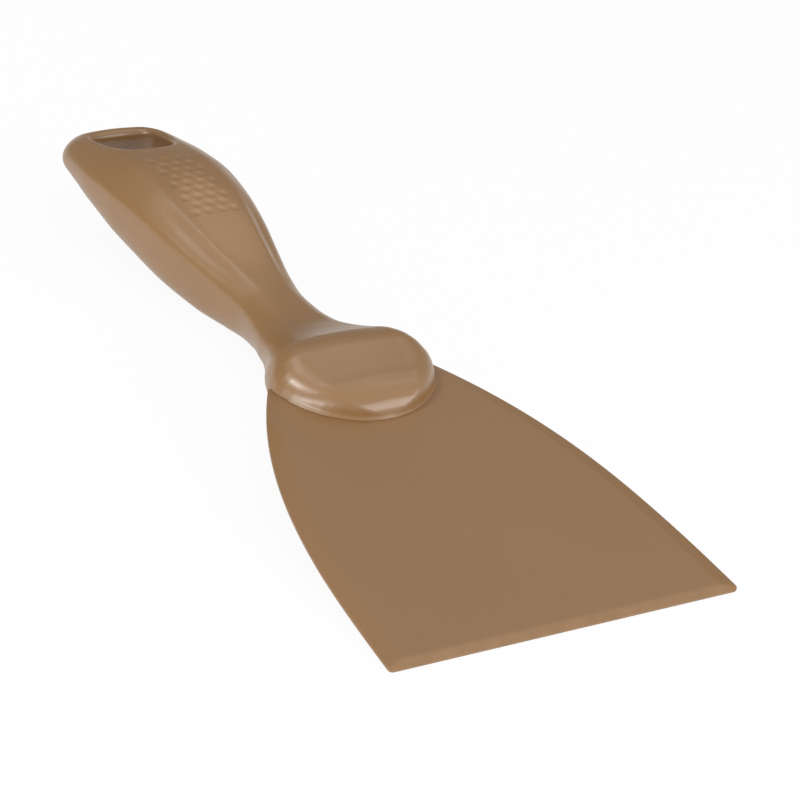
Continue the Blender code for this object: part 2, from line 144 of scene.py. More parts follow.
# Outer lines of the handle. Places are shares of the zone's length, and the rest are shares of its
# width, rise, drop and top panel.
COLLAR_SHARES = (
    # place  width  top    bottom panel
    (0.00, 1.000, 0.76, 0.80, 0.70),
    (0.40, 1.000, 0.80, 0.86, 0.82),
    (0.65, 0.990, 0.88, 0.94, 0.96),
    (0.80, 0.965, 0.94, 0.97, 1.00),
    (0.92, 0.905, 0.99, 0.98, 1.00),
)
NECK_SHARES = (
    # place  width  rise   drop   panel
    (0.05, 2.160, 0.92, 0.71, 3.68),
    (0.17, 1.830, 0.62, 0.72, 2.99),
    (0.30, 1.550, 0.34, 0.74, 2.07),
    (0.44, 1.340, 0.12, 0.82, 1.44),
    (0.62, 1.110, 0.02, 0.93, 1.09),
    (0.82, 1.000, 0.00, 1.02, 0.98),
)
GRIP_SHARES = (
    # place  width  rise   drop   panel
    (0.00, 0.530, 0.10, 0.89, 0.45),
    (0.14, 0.670, 0.38, 0.97, 0.72),
    (0.30, 0.830, 0.78, 1.00, 0.92),
    (0.44, 0.925, 1.00, 0.98, 1.00),
    (0.56, 0.985, 0.90, 0.96, 0.99),
    (0.68, 0.995, 0.36, 0.955, 0.96),
    (0.78, 0.945, -0.40, 0.955, 0.94),
    (0.88, 0.875, -1.20, 0.95, 0.90),
    (0.95, 0.845, -2.00, 0.93, 0.78),
    (1.00, 0.835, -2.60, 0.91, 0.68),
)

# Form of the cross-section. Places are shares of the handle's length, and the widest line is a share
# of the way from the belly to the top. The powers say how full each curve is: near 1 is a straight
# slope with a crisp edge, 2 is an ellipse and 4 is boxy.
SECTION_SHARES = (
    # place  widest flank belly
    (0.00, 0.50, 2.20, 2.2),
    (0.16, 0.50, 2.20, 2.2),
    (0.26, 0.53, 1.90, 2.2),
    (0.33, 0.68, 1.50, 2.6),
    (0.42, 0.74, 1.35, 3.4),
    (0.50, 0.74, 1.35, 4.0),
    (0.60, 0.73, 1.35, 3.8),
    (0.74, 0.68, 1.35, 3.3),
    (0.82, 0.62, 1.40, 2.6),
    (0.90, 0.55, 1.60, 2.2),
    (1.00, 0.50, 1.80, 2.2),
)
PANEL_CROWN_SHARE = 0.05
PANEL_LIMIT_SHARE = 0.75            # the top panel is never wider than this share of the section
PANEL_BLEND = 6.0                   # how abruptly that limit takes over, as a power
NEAR_LIP_SHARE = 0.32               # rounding of the hole's near lip, against its far lip
FIRST_RING_SHARE = 0.15             # place of the first ring, in the first step of the nose
END_ROUNDNESS = 2.4
ROOT_ROUNDNESS = 2.6
HOLE_ROUNDNESS = 2.8
LIP_ANGLE = math.radians(78.0)

# Staggered shallow pips on the grip's top panel
PIP_START_SHARE = 0.30              # first row, in lengths of the grip from its start
PIP_ROWS = 9
PIP_COLUMNS = 4
PIP_ROW_SHARE = 0.80                # distance between rows, in pitches
PIP_FLATNESS = 4                    # fullness of a pip's bowl, as a power

# Fillet round the collar's foot
FOOT_END_SHARE = 1.6                # where it ends behind the collar's front, in half noses
FOOT_UNDER_SHARE = 0.5              # how far it goes on under the blade's face, in its heights
LEAST_NORMAL = 0.01                 # a level normal shorter than this counts as upright

# Shallow finger channel along each flank of the grip
CHANNEL_START_SHARE = -0.10
CHANNEL_END_SHARE = 0.46
CHANNEL_ANGLE = math.radians(34.0)
CHANNEL_SPAN = math.radians(17.0)

# Camera
CAMERA_AZIMUTH = math.radians(-39.92)
CAMERA_ELEVATION = math.radians(34.05)
CAMERA_ROLL = math.radians(14.76)
CAMERA_NEAR = 10.0 * MM
CAMERA_FAR = 50000.0 * MM

# Floor and light
WHITE = (1.0, 1.0, 1.0, 1.0)
FLOOR_GAP = 0.02 * MM
WHITE_SHARE = 0.93                  # how white the floor shows, past its own light and shadow
DARK_DEPTH = 0.55                   # how much of the light is missing on the studio's darker side
DARK_SIDE = (-0.10, 0.995, 0.0)     # level direction of that side
DARK_SIDE_SPAN = (0.05, 0.30)       # how far towards that side the dark starts and is full
DARK_HEIGHT_SPAN = (0.49, 0.40)     # height at which it starts and is full, on a unit sphere
DARK_CLIMB = 0.5                    # how much higher it reaches straight that way than beside it
AIM_HEIGHT = 10.0 * MM              # height of the point that the lamps face
LAMPS = (
    # name, azimuth and elevation in degrees, distance, width and height in metres, and watts
    ("left_spot", -88.0, 45.0, 0.90, 0.18, 0.18, 2.05),
    ("low_left_softbox", -64.0, 4.6, 1.00, 0.80, 0.14, 3.5),
    ("front_softbox", 36.0, 20.0, 1.00, 1.00, 0.55, 4.2),
    ("right_softbox", 107.0, 57.0, 1.30, 0.60, 0.60, 0.5),
    ("top_softbox", -160.0, 72.0, 1.20, 0.50, 0.36, 1.0),
)


def size(label, description, millimetres):
    """A length that a user would change, given in millimetres."""
    return FloatProperty(name=label, description=description, default=millimetres * MM,
                         unit="LENGTH", subtype="DISTANCE", precision=4)


def colour(label, description, value):
    """A colour that a user would change."""
    return FloatVectorProperty(name=label, description=description, default=value, size=4,
                               min=0.0, max=1.0, subtype="COLOR")


class ScraperBladeSizes(bpy.types.PropertyGroup):
    """Sizes and colour of the blade."""

    width: size("Width", "Width of the scraping edge", 102.0)
    reach: size("Reach", "Scraping edge to the front of the collar", 84.3)
    shoulder_inset: size("Shoulder inset", "Front of the collar to the step in the sides", 20.0)
    shoulder_width: size("Shoulder width", "Width of the blade at that step", 48.3)
    tip_radius: size("Tip radius", "Rounding of the two front corners", 1.3)
    thickness: size("Thickness", "Thickness of the plate", 2.6)
    edge_thickness: size("Edge thickness", "Thickness of the scraping edge", 1.3)
    ramp: size("Ramp", "Length over which the underside rises to the edge", 35.0)
    front_bevel: size("Front bevel", "Length of the bevel on the scraping edge", 2.1)
    front_drop: size("Front drop", "Fall of that bevel", 0.8)
    side_bevel: size("Side bevel", "Width of the slope along each side", 4.2)
    side_drop: size("Side drop", "Fall of the upper slope", 0.9)
    side_land: size("Side land", "Upright strip between the two slopes", 0.7)
    crease: size("Crease", "Softness of the line where a bevel starts", 0.28)
    edge_round: size("Edge rounding", "Rounding of the outer edges", 0.17)
    root_width: size("Root width", "Width of the root inside the collar", 37.0)
    root_length: size("Root length", "Length of the root inside the collar", 14.0)
    key_radius: size("Key hole radius", "Radius of the root's keying holes", 3.2)
    key_spread: size("Key hole spread", "Distance between the two side holes", 21.0)
    side_key: size("Side key depth", "Shoulder to the side holes", 4.5)
    middle_key: size("Middle key depth", "Shoulder to the middle hole", 8.0)
    plastic: colour("Plastic", "Colour of the blade", (0.247, 0.128, 0.047, 1.0))


class ScraperHandleSizes(bpy.types.PropertyGroup):
    """Sizes and colour of the handle."""

    collar_width: size("Collar width", "Width of the collar", 50.6)
    collar_length: size("Collar length", "Length of the collar", 24.5)
    collar_rise: size("Collar rise", "Height of the collar over the blade", 8.8)
    collar_drop: size("Collar drop", "Depth of the collar under the blade's face", 11.6)
    collar_panel: size("Collar panel", "Width of the collar's flat top", 27.0)
    nose: size("Nose", "Length of the collar's rounding seen from above", 25.0)
    brow: size("Brow", "Length of the collar's rounding seen from the side", 9.0)
    neck_length: size("Neck length", "Length of the neck", 42.0)
    neck_width: size("Neck width", "Width of the neck", 19.6)
    neck_rise: size("Neck rise", "Height of the neck over the blade's face", -0.4)
    neck_drop: size("Neck drop", "Depth of the neck", 16.2)
    neck_panel: size("Neck panel", "Width of the neck's flat top", 6.6)
    grip_length: size("Grip length", "Length of the grip", 90.0)
    grip_width: size("Grip width", "Width of the grip", 40.4)
    grip_rise: size("Grip rise", "Height of the grip over the blade's face", 3.27)
    grip_drop: size("Grip drop", "Depth of the grip", 20.2)
    grip_panel: size("Grip panel", "Width of the grip's flat top", 20.0)
    end_plan: size("End rounding", "Rounding of the grip's end seen from above", 13.0)
    end_side: size("End side rounding", "Rounding of the grip's end seen from the side", 7.0)
    channel_depth: size("Channel depth", "Depth of the finger channels", 0.7)
    hole_place: size("Hole place", "End of the grip to the hole's widest line", 15.0)
    hole_width: size("Hole width", "Width of the hanging hole", 20.0)
    hole_near: size("Hole near reach", "Widest line of the hole towards the neck", 13.2)
    hole_far: size("Hole far reach", "Widest line of the hole towards the end", 6.8)
    hole_lip: size("Hole lip", "Rounding of the hole's far lip", 3.8)
    fillet_reach: size("Fillet reach", "Spread of the fillet round the collar's foot", 0.5)
    fillet_height: size("Fillet height", "Height of the fillet round the collar's foot", 1.3)
    joint_gap: size("Joint gap", "Gap between the collar and the blade", 0.10)
    pip_radius: size("Pip radius", "Radius of the shallow grip pips", 1.30)
    pip_depth: size("Pip depth", "Depth of the shallow grip pips", 0.27)
    pip_pitch: size("Pip pitch", "Distance from one pip to the next", 4.0)
    plastic: colour("Plastic", "Colour of the handle", (0.256, 0.131, 0.044, 1.0))


class ScraperStageSizes(bpy.types.PropertyGroup):
    """Floor, light and camera."""

    floor_width: size("Floor width", "Width of the pale floor", 6000.0)
    floor_colour: colour("Floor", "Colour of the floor", (0.90, 0.90, 0.90, 1.0))
    camera_distance: size("Camera distance", "Camera to the point that it looks at", 814.32)
    target_x: size("Target across", "Place across the blade that the camera looks at", 7.0)
    target_y: size("Target along", "Distance from the scraping edge to that place", 90.36)
    lens: FloatProperty(name="Lens", description="Focal length in millimetres", default=144.0)
    world_light: FloatProperty(name="World light", description="Strength of the even light",
                               default=0.68)


# Helpers for modelling

def deselect_everything():
    """Leave edit mode and select nothing."""
    if bpy.context.object is not None and bpy.context.object.mode != "OBJECT":
        bpy.ops.object.mode_set(mode="OBJECT")
    bpy.ops.object.select_all(action="DESELECT")


def make_active(obj):
    """Select one object only."""
    deselect_everything()
    obj.select_set(True)
    bpy.context.view_layer.objects.active = obj


def points_of(obj):
    """Vertex places, one row each."""
    flat = np.empty(len(obj.data.vertices) * 3)
    obj.data.vertices.foreach_get("co", flat)
    return flat.reshape(-1, 3)


def place_points(obj, points):
    """Move the vertices to new places."""
    obj.data.vertices.foreach_set("co", points.astype(np.float32).ravel())
    obj.data.update()


def select_parts(obj, kind, chosen):
    """Enter edit mode with only the chosen vertices, edges or faces selected."""
    make_active(obj)
    bpy.ops.object.mode_set(mode="EDIT")
    bpy.ops.mesh.select_mode(type={"vertices": "VERT", "edges": "EDGE", "polygons": "FACE"}[kind])
    bpy.ops.mesh.select_all(action="DESELECT")
    bpy.ops.object.mode_set(mode="OBJECT")
    getattr(obj.data, kind).foreach_set("select", np.asarray(chosen, dtype=bool))
    bpy.ops.object.mode_set(mode="EDIT")


def edge_ends(obj):
    """Numbers of each edge's two vertices."""
    ends = np.empty(len(obj.data.edges) * 2, dtype=np.int64)
    obj.data.edges.foreach_get("vertices", ends)
    return ends.reshape(-1, 2)


def face_centres(obj):
    """Centre of each face, one row each."""
    flat = np.empty(len(obj.data.polygons) * 3)
    obj.data.polygons.foreach_get("center", flat)
    return flat.reshape(-1, 3)


def turn_faces_out(obj):
    """Recalculate the normals of a closed piece."""
    make_active(obj)
    bpy.ops.object.mode_set(mode="EDIT")
    bpy.ops.mesh.select_all(action="SELECT")
    bpy.ops.mesh.normals_make_consistent(inside=False)
    bpy.ops.object.mode_set(mode="OBJECT")


def apply_modifiers(obj):
    """Apply every modifier in order."""
    make_active(obj)
    for modifier in list(obj.modifiers):
        bpy.ops.object.modifier_apply(modifier=modifier.name)


def cut_away(obj, cutter):
    """Cut one closed piece from another and delete the cutter."""
    modifier = obj.modifiers.new(cutter.name, "BOOLEAN")
    modifier.operation = "DIFFERENCE"
    modifier.solver = "EXACT"
    modifier.object = cutter
    apply_modifiers(obj)
    bpy.data.objects.remove(cutter, do_unlink=True)


def add_tube(name, table):
    """A closed tube through a table of rings: a cylinder, cut across and drawn to the rings' points."""
    rings, sides = table.shape[0], table.shape[1]
    deselect_everything()
    bpy.ops.mesh.primitive_cylinder_add(vertices=sides, radius=1.0, depth=1.0, end_fill_type="NGON")
    tube = bpy.context.object
    tube.name = name
    points = points_of(tube)
    ends = points[edge_ends(tube)]
    select_parts(tube, "edges", np.abs(ends[:, 0, 2] - ends[:, 1, 2]) > 0.5)
    bpy.ops.mesh.subdivide(number_cuts=rings - 2)
    bpy.ops.object.mode_set(mode="OBJECT")
    points = points_of(tube)
    ring = np.rint((points[:, 2] + 0.5) * (rings - 1)).astype(int)
    side = np.rint(np.arctan2(points[:, 0], points[:, 1]) / (2.0 * math.pi) * sides).astype(int)
    place_points(tube, table[ring, side % sides])
    turn_faces_out(tube)
    return tube


def shade(obj, degrees):
    """Smooth shading with crisp edges past an angle."""
    make_active(obj)
    bpy.ops.object.shade_smooth_by_angle(angle=math.radians(degrees), keep_sharp_edges=False)


def resting_pose():
    """The turn and place that lay the level tool on its edge and belly, read from the frame."""
    sizes = bpy.context.scene.scraper_blade
    mounts = {mount["name"]: mount for mount in frame["record"]["mounts"]}
    axis = Vector(mounts["blade_face"]["axis"])
    tilt = math.atan2(-axis.y, axis.z)
    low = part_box("blade")[0]
    place = Vector((0.0, low.y - sizes.front_drop * math.sin(tilt),
                    low.z + sizes.edge_thickness * math.cos(tilt)))
    return Matrix.Translation(place) @ Matrix.Rotation(tilt, 4, "X")


def lay_on_table(obj):
    """Tip a level piece into its resting pose and apply it."""
    make_active(obj)
    obj.matrix_world = resting_pose()
    bpy.ops.object.transform_apply(location=True, rotation=True, scale=True)


def soft_ramp(value, softness):
    """Rises from 0 in step with a value over 0, through a soft bend."""
    return (value + np.sqrt(value * value + softness * softness)) / 2.0


# Blade

def side_half_width(sizes, place):
    """Half width of the blade at distances from its scraping edge."""
    share = place / (sizes.reach + sizes.shoulder_inset)
    half = sizes.width / 2
    front, rear = SIDE_CURVE_SHARES
    side = (half * (1 - share) ** 3 + front * half * 3 * share * (1 - share) ** 2
            + rear * half * 3 * share ** 2 * (1 - share) + sizes.shoulder_width / 2 * share ** 3)
    inset = np.clip(sizes.tip_radius - place, 0.0, sizes.tip_radius)
    return side - sizes.tip_radius + np.sqrt(sizes.tip_radius ** 2 - inset ** 2)


def blade_rows(sizes):
    """Distances of the blade's rows from its scraping edge, close together at the rounded tips."""
    turns = np.linspace(0.0, math.pi / 2, TIP_ROWS + 1)
    tips = sizes.tip_radius * (1.0 - np.cos(turns))
    bevel = np.linspace(sizes.tip_radius, BEVEL_ROWS_SHARE * sizes.front_bevel, BEVEL_ROWS)[1:]
    shoulder = sizes.reach + sizes.shoulder_inset
    return np.concatenate([tips, bevel, np.linspace(bevel[-1], shoulder, SIDE_ROWS + 1)[1:]])


def blade_columns(sizes):
    """Distances of the blade's columns from its side, out to the root's side and then as shares."""
    step = (sizes.shoulder_width - sizes.root_width) / 2
    start, end = (sizes.side_bevel * share for share in CREASE_SPAN_SHARES)
    band = np.linspace(0.0, start, BAND_COLUMNS)
    crease = np.linspace(start, end, CREASE_COLUMNS)[1:]
    return np.concatenate([band, crease, [step]])


def blade_heights(sizes, place, inset):
    """Upper and lower heights at a distance from the edge and an inset from the side."""
    ramp = soft_ramp(1.0 - place / sizes.ramp, RAMP_BEND_SHARE)
    bottom = -sizes.thickness + (sizes.thickness - sizes.edge_thickness) * np.minimum(ramp, 1.0)
    fall = sizes.side_drop * -bottom / sizes.thickness
    softness = sizes.crease / sizes.side_bevel
    side = fall * np.minimum(soft_ramp(1.0 - inset / sizes.side_bevel, softness), 1.0)
    softness = sizes.crease / sizes.front_bevel
    front = sizes.front_drop * np.minimum(soft_ramp(1.0 - place / sizes.front_bevel, softness), 1.0)
    upper = -np.maximum(side, front)
    slope = (sizes.thickness - sizes.side_drop - sizes.side_land) / sizes.side_bevel
    outer = np.maximum(-np.maximum(fall, front) - sizes.side_land, bottom)
    lower = bottom + soft_ramp(outer - slope * inset - bottom, sizes.crease * slope)
    return upper, np.minimum(lower, upper - sizes.edge_thickness * LEAST_RIM_SHARE)


def add_blade_sheet(sizes):
    """The blade's plan as a grid, drawn to its outline and given its thickness."""
    rows = blade_rows(sizes)
    insets = blade_columns(sizes)
    columns = 2 * (len(insets) + INNER_COLUMNS) + 1
    deselect_everything()
    bpy.ops.mesh.primitive_grid_add(x_subdivisions=columns - 1, y_subdivisions=len(rows) - 1,
                                    size=1.0)
    blade = bpy.context.object
    blade.name = "blade_plate"
    grid = points_of(blade)
    column = np.rint((grid[:, 0] + 0.5) * (columns - 1)).astype(int)
    place = rows[np.rint((grid[:, 1] + 0.5) * (len(rows) - 1)).astype(int)]
    half = side_half_width(sizes, place)
    from_side = np.minimum(column, columns - 1 - column)
    inner = np.clip((from_side - len(insets) + 1) / (INNER_COLUMNS + 1), 0.0, 1.0)
    outer_inset = insets[np.minimum(from_side, len(insets) - 1)]
    inset = outer_inset + (half - outer_inset) * inner
    side = np.sign(column - (columns - 1) / 2)
    flat = np.column_stack([side * (half - inset), place, np.zeros(len(place))])
    place_points(blade, flat)
    thicken_sheet(blade, sizes, flat, *blade_heights(sizes, place, inset))
    return blade


def plan_keys(points):
    """Rounded places seen from above, by which a point is found again."""
    return [(round(x, PLAN_DIGITS), round(y, PLAN_DIGITS))
            for x, y in points[:, :2].astype(np.float32)]


def thicken_sheet(blade, sizes, flat, upper, lower):
    """Extrude the flat sheet and give each point of its two sides its height."""
    select_parts(blade, "polygons", np.ones(len(blade.data.polygons)))
    bpy.ops.mesh.extrude_region_move(TRANSFORM_OT_translate={"value": (0.0, 0.0, -sizes.thickness)})
    bpy.ops.object.mode_set(mode="OBJECT")
    solid = points_of(blade)
    order = {key: i for i, key in enumerate(plan_keys(flat))}
    found = [order[key] for key in plan_keys(solid)]
    is_lower = solid[:, 2] < -sizes.thickness / 2
    solid[:, 2] = np.where(is_lower, lower[found], upper[found])
    place_points(blade, solid)
    turn_faces_out(blade)


def extrude_root(blade, sizes):
    """Draw the root out of the middle of the blade's rear wall, ring by ring."""
    shoulder = sizes.reach + sizes.shoulder_inset
    centres = face_centres(blade)
    rear = centres[:, 1] > shoulder - SAME_PLACE
    middle = np.abs(centres[:, 0]) < sizes.root_width / 2
    select_parts(blade, "polygons", rear & middle)
    turns = np.linspace(0.0, math.pi / 2, ROOT_STEPS + 1)[:-1]
    places = sizes.root_length * np.sin(turns) ** (2.0 / ROOT_ROUNDNESS)
    widths = np.cos(turns) ** (2.0 / ROOT_ROUNDNESS)
    centre = (0.0, shoulder, -sizes.thickness / 2)
    for i in range(1, len(turns)):
        step = places[i] - places[i - 1]
        bpy.ops.mesh.extrude_region_move(TRANSFORM_OT_translate={"value": (0.0, step, 0.0)})
        bpy.ops.transform.resize(value=(widths[i] / widths[i - 1], 1.0, 1.0), center_override=centre)
    bpy.ops.object.mode_set(mode="OBJECT")


def round_blade_edges(blade, sizes):
    """Round the outer edges of the blade, top and bottom, from one shoulder round to the other."""
    points = points_of(blade)
    ends = edge_ends(blade)
    shoulder = sizes.reach + sizes.shoulder_inset
    half = side_half_width(sizes, np.minimum(points[:, 1], shoulder))
    on_outline = (np.abs(points[:, 0]) > half - SAME_PLACE) | (points[:, 1] < SAME_PLACE)
    on_outline &= points[:, 1] < shoulder + SAME_PLACE
    run = points[ends[:, 0]] - points[ends[:, 1]]
    along = (np.linalg.norm(run[:, :2], axis=1) > LEAST_RUN) & (np.abs(run[:, 2]) < MOST_DROP)
    at_shoulder = (points[ends, 1] > shoulder - SAME_PLACE).all(axis=1)
    select_parts(blade, "edges", on_outline[ends].all(axis=1) & along & ~at_shoulder)
    bpy.ops.mesh.bevel(offset=sizes.edge_round, segments=EDGE_SEGMENTS, affect="EDGES",
                       clamp_overlap=True)
    bpy.ops.object.mode_set(mode="OBJECT")


def cut_key_holes(blade, sizes):
    """Drill the three keying holes through the root."""
    shoulder = sizes.reach + sizes.shoulder_inset
    half = sizes.key_spread / 2
    places = ((-half, shoulder + sizes.side_key), (half, shoulder + sizes.side_key),
              (0.0, shoulder + sizes.middle_key))
    for x, y in places:
        deselect_everything()
        bpy.ops.mesh.primitive_cylinder_add(vertices=KEY_SIDES, radius=sizes.key_radius,
                                            depth=sizes.thickness * KEY_CUTTER_SHARE,
                                            location=(x, y, -sizes.thickness / 2))
        cut_away(blade, bpy.context.object)


def mark_bevels(blade, sizes):
    """Write where the side bevels are, as an attribute that the plastic's colour reads to paint shade
    there.
    """
    points = points_of(blade)
    inset = side_half_width(sizes, np.clip(points[:, 1], 0.0, sizes.reach)) - np.abs(points[:, 0])
    share = np.clip((sizes.side_bevel + sizes.crease - inset) / (2.0 * sizes.crease), 0.0, 1.0)
    marks = blade.data.attributes.new(BEVEL_MARK, "FLOAT", "POINT")
    marks.data.foreach_set("value", share.astype(np.float32))


class ScraperBlade(bpy.types.Operator):
    """Model the spade-shaped blade with its bevels, root and keying holes"""

    bl_idname = "scraper.blade"
    bl_label = "Blade"

    def execute(self, context):
        """Build the blade and put it in the frame."""
        sizes = context.scene.scraper_blade
        blade = add_blade_sheet(sizes)
        extrude_root(blade, sizes)
        round_blade_edges(blade, sizes)
        cut_key_holes(blade, sizes)
        mark_bevels(blade, sizes)
        shade(blade, BLADE_CRISP_DEGREES)
        blade.data.materials.clear()
        blade.data.materials.append(blade_material(sizes))
        lay_on_table(blade)
        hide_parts("blade")
        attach(blade, "root")
        return {"FINISHED"}


# Handle

def smooth_value(places, values, place):
    """Value at a place, on a smooth line through the given places and values."""
    if place <= places[0]:
        return values[0]
    if place >= places[-1]:
        return values[-1]
    right = next(i for i, stop in enumerate(places) if stop > place)
    left = right - 1

    def slope(i):
        """Slope at a station, which is level where the line turns back."""
        if i == 0 or i == len(places) - 1:
            return 0.0
        before = (values[i] - values[i - 1]) / (places[i] - places[i - 1])
        after = (values[i + 1] - values[i]) / (places[i + 1] - places[i])
        if before * after <= 0.0:
            return 0.0
        return 2.0 * before * after / (before + after)

    gap = places[right] - places[left]
    t = (place - places[left]) / gap
    blend = t * t * (3.0 - 2.0 * t)
    bow = t * (1.0 - t) * gap * (slope(left) * (1.0 - t) - slope(right) * t)
    return values[left] + (values[right] - values[left]) * blend + bow


def rounded(share, power=2.0):
    """Share of the full size left in a rounded end, which starts at share 0 and ends at 1."""
    return math.sqrt(max(1.0 - share ** power, 0.0))


def soft_least(first, second):
    """The smaller of two lengths, blended where they are alike."""
    return (first ** -PANEL_BLEND + second ** -PANEL_BLEND) ** (-1.0 / PANEL_BLEND)


class HandleForm:
    """Outer form of the handle, worked out from its sizes."""

    def __init__(self, blade, handle):
        """Stations of the outer lines from the collar to the end."""
        self.sizes = handle
        self.front = blade.reach
        self.neck_start = self.front + handle.collar_length
        self.grip_start = self.neck_start + handle.neck_length
        self.end = self.grip_start + handle.grip_length
        self.hole_centre = self.end - handle.hole_place
        zones = (
            (COLLAR_SHARES, self.front, handle.collar_length, handle.collar_width, 0.0,
             handle.collar_rise, handle.collar_drop, handle.collar_panel),
            (NECK_SHARES, self.neck_start, handle.neck_length, handle.neck_width, handle.neck_rise,
             handle.collar_rise - handle.neck_rise, handle.neck_drop, handle.neck_panel),
            (GRIP_SHARES, self.grip_start, handle.grip_length, handle.grip_width, handle.neck_rise,
             handle.grip_rise - handle.neck_rise, handle.grip_drop, handle.grip_panel),
        )
        stations = []
        for shares, start, length, width, base, rise, drop, panel in zones:
            for place, wide, top, bottom, flat in shares:
                stations.append((start + length * place, width / 2 * wide, base + rise * top,
                                 -drop * bottom, panel / 2 * flat))
        self.columns = tuple(zip(*stations))

    def lines(self, place):
        """Half width, top, widest height, bottom and panel half width at a place along Y."""
        half, top, bottom, panel = (smooth_value(self.columns[0], column, place)
                                    for column in self.columns[1:])
        nose = max(1.0 - (place - self.front) / self.sizes.nose, 0.0)
        brow = max(1.0 - (place - self.front) / self.sizes.brow, 0.0)
        plan_end = max(1.0 - (self.end - place) / self.sizes.end_plan, 0.0)
        side_end = max(1.0 - (self.end - place) / self.sizes.end_side, 0.0)
        half *= rounded(nose) * rounded(plan_end, END_ROUNDNESS)
        top *= rounded(brow)
        bottom *= rounded(brow)
        widest = bottom + (top - bottom) * self.section(place)[0]
        flatten = rounded(side_end)
        top = widest + (top - widest) * flatten
        bottom = widest + (bottom - widest) * flatten
        return half, top, widest, bottom, soft_least(panel, half * PANEL_LIMIT_SHARE)

    def section(self, place):
        """Share of the widest line and powers of the flank's and belly's curves at a place."""
        columns = tuple(zip(*SECTION_SHARES))
        share = (place - self.front) / (self.end - self.front)
        return [smooth_value(columns[0], column, share) for column in columns[1:]]

    def channel(self, place, angles):
        """How far the finger channel sinks into the flank at some angles round it."""
        start = self.grip_start + self.sizes.grip_length * CHANNEL_START_SHARE
        end = self.grip_start + self.sizes.grip_length * CHANNEL_END_SHARE
        along = min(max((place - start) / (end - start), 0.0), 1.0)
        across = np.exp(-((angles - CHANNEL_ANGLE) / CHANNEL_SPAN) ** 2)
        return self.sizes.channel_depth * math.sin(math.pi * along) ** 2 * across

    def ring(self, place):
        """Closed ring of points round the handle at a place along Y."""
        half, top, widest, bottom, panel = self.lines(place)
        crest = top - panel * PANEL_CROWN_SHARE
        _, flank, belly = self.section(place)
        over = np.linspace(0.0, 1.0, PANEL_POINTS, endpoint=False)
        turns = np.linspace(0.0, math.pi / 2, FLANK_POINTS, endpoint=False)
        sink = self.channel(place, turns)
        under = np.linspace(0.0, math.pi / 2, BELLY_POINTS + 1)
        x = np.concatenate([
            panel * over,
            panel + (half - panel) * np.sin(turns) ** (2.0 / flank) - sink * np.sin(turns),
            half * np.maximum(np.cos(under), 0.0) ** (2.0 / belly)])
        z = np.concatenate([
            top - panel * PANEL_CROWN_SHARE * over ** 2,
            widest + (crest - widest) * np.cos(turns) ** (2.0 / flank) - sink * np.cos(turns),
            widest - (widest - bottom) * np.sin(under) ** (2.0 / belly)])
        x = np.concatenate([x, -x[-2:0:-1]])
        z = np.concatenate([z, z[-2:0:-1]])
        return np.column_stack([x, np.full(len(x), place), z])

    def ring_table(self):
        """All the rings, closer together at the two rounded ends."""
        turns = np.linspace(0.0, math.pi / 2, ROUND_RINGS + 1)
        turns[0] = turns[1] * FIRST_RING_SHARE
        nose_end = self.front + self.sizes.nose
        body_end = self.end - self.sizes.end_plan
        front = self.front + self.sizes.nose * (1.0 - np.cos(turns[:-1]))
        middle = np.linspace(nose_end, body_end, BODY_RINGS)
        back = self.end - self.sizes.end_plan * (1.0 - np.cos(turns[:-1]))[::-1]
        return np.array([self.ring(place) for place in np.concatenate([front, middle, back])])

    def top_height(self, x, place):
        """Height of the handle's upper surface above a point."""
        half, top, widest, _, panel = self.lines(place)
        if abs(x) <= panel:
            return top - PANEL_CROWN_SHARE * x * x / panel
        power = self.section(place)[1]
        share = min((abs(x) - panel) / (half - panel), 1.0)
        crest = top - panel * PANEL_CROWN_SHARE
        return widest + (crest - widest) * (1.0 - share ** power) ** (1.0 / power)

    def bottom_height(self, x, place):
        """Height of the handle's lower surface under a point."""
        half, _, widest, bottom, _ = self.lines(place)
        share = min(abs(x) / half, 1.0)
        power = self.section(place)[2]
        drop = (1.0 - share ** power) ** (1.0 / power)
        return widest - (widest - bottom) * drop

    def hole_outline(self, spread):
        """Plan outline of the hanging hole, spread outwards by a lip's width."""
        across, along = np.cos(HOLE_ANGLES), np.sin(HOLE_ANGLES)
        power = 2.0 / HOLE_ROUNDNESS
        reach = np.where(along > 0.0, self.sizes.hole_far, self.sizes.hole_near) + spread
        x = np.copysign(np.abs(across) ** power, across) * (self.sizes.hole_width / 2 + spread)
        y = self.hole_centre + np.copysign(np.abs(along) ** power, along) * reach
        return list(zip(x, y))

    def hole_ring(self, surface, inwards, spread, depth):
        """Ring of the hole's cutter that lies at a depth inside the upper or lower surface."""
        return [(x, y, surface(x, y) + inwards * sunk)
                for (x, y), sunk in zip(self.hole_outline(spread), depth)]

    def hole_table(self):
        """Rings of the hole's cutter, with a lip that follows each surface and is fullest far off."""
        turns = np.linspace(0.0, LIP_ANGLE, LIP_STEPS + 1)
        fullness = ((1.0 + np.sin(HOLE_ANGLES)) / 2.0) ** 2
        lip = self.sizes.hole_lip * (NEAR_LIP_SHARE + (1.0 - NEAR_LIP_SHARE) * fullness)
        lips = [(lip * (1.0 - math.cos(turn)), lip * (1.0 - math.sin(turn))) for turn in turns]
        lips.append((lips[-1][0], np.full(HOLE_POINTS, -HOLE_OVERRUN)))
        upper = [self.hole_ring(self.top_height, -1, *ring) for ring in reversed(lips)]
        lower = [self.hole_ring(self.bottom_height, 1, *ring) for ring in lips]
        return np.array(upper + lower)


